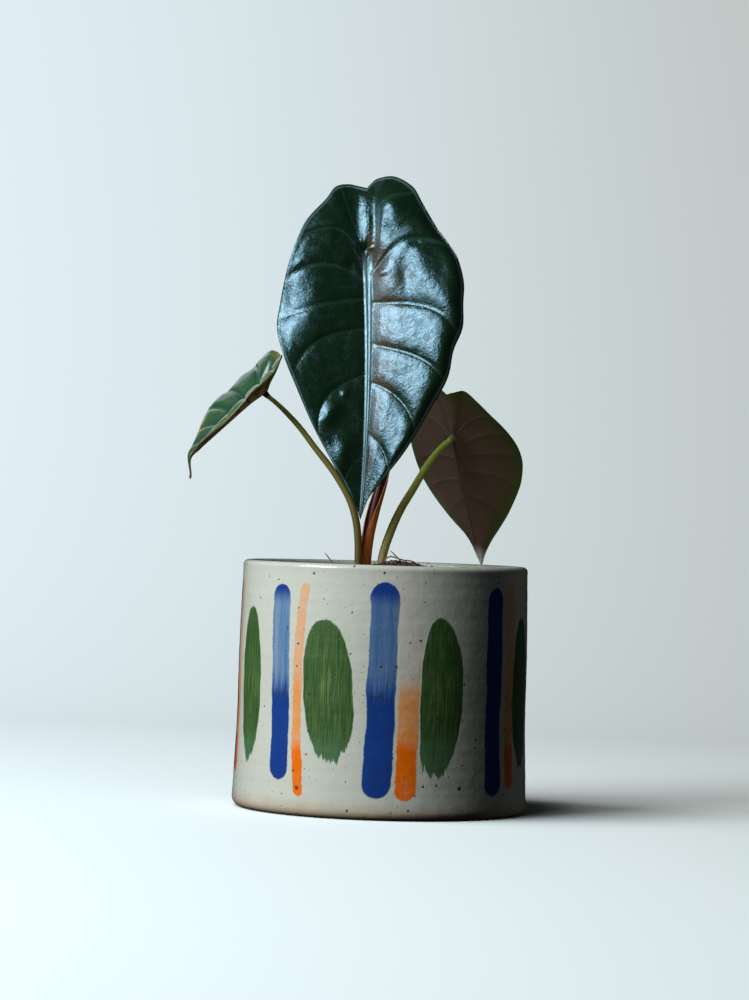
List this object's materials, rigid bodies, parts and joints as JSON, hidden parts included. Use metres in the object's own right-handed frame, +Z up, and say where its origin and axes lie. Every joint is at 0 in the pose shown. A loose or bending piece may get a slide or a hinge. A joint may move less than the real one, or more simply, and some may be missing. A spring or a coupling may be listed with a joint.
{
  "type": "potted alocasia chantrieri",
  "caption": "Potted aroid house plant with broad shield-shaped hanging leaves on slender stalks, standing in a round glazed stoneware pot of soil.",
  "frame": {"origin": "centre of the pot's flat foot, where it stands", "axes": "+Z up, along the pot's axis; -Y towards the side that the big leaf faces; +X to the right seen from that side"},
  "size_m": [0.1421, 0.1198, 0.2577],
  "materials": {
    "pot_glaze": "semi-gloss cream glaze with brown specks and brushed blue, orange and green strokes",
    "potting_soil": "loose dark potting mix",
    "corm_flesh": "dull brown fibrous skin",
    "front_blade": "glossy dark green leaf with a pale silver midrib and a bronze sheen",
    "left_blade": "satin mid green young leaf with darker veins and a purple-brown underside",
    "right_blade": "matte purple-brown leaf underside with darker veins",
    "front_petiole": "smooth red-brown stalk",
    "left_petiole": "smooth olive stalk",
    "right_petiole": "smooth olive stalk, bright green at the top",
    "sheath": "dry rust-brown papery sheath",
    "coir": "dry brown fibre"
  },
  "bodies": {
    "root": {"pot": "pot_glaze", "soil": "potting_soil", "corm": "corm_flesh", "leaf_front_blade": "front_blade", "leaf_left_blade": "left_blade", "leaf_right_blade": "right_blade", "leaf_front_petiole": "front_petiole", "leaf_left_petiole": "left_petiole", "leaf_right_petiole": "right_petiole", "cataphyll": "sheath", "coir_tip": "coir", "coir_arch": "coir", "coir_left": "coir"}
  },
  "joints": []
}
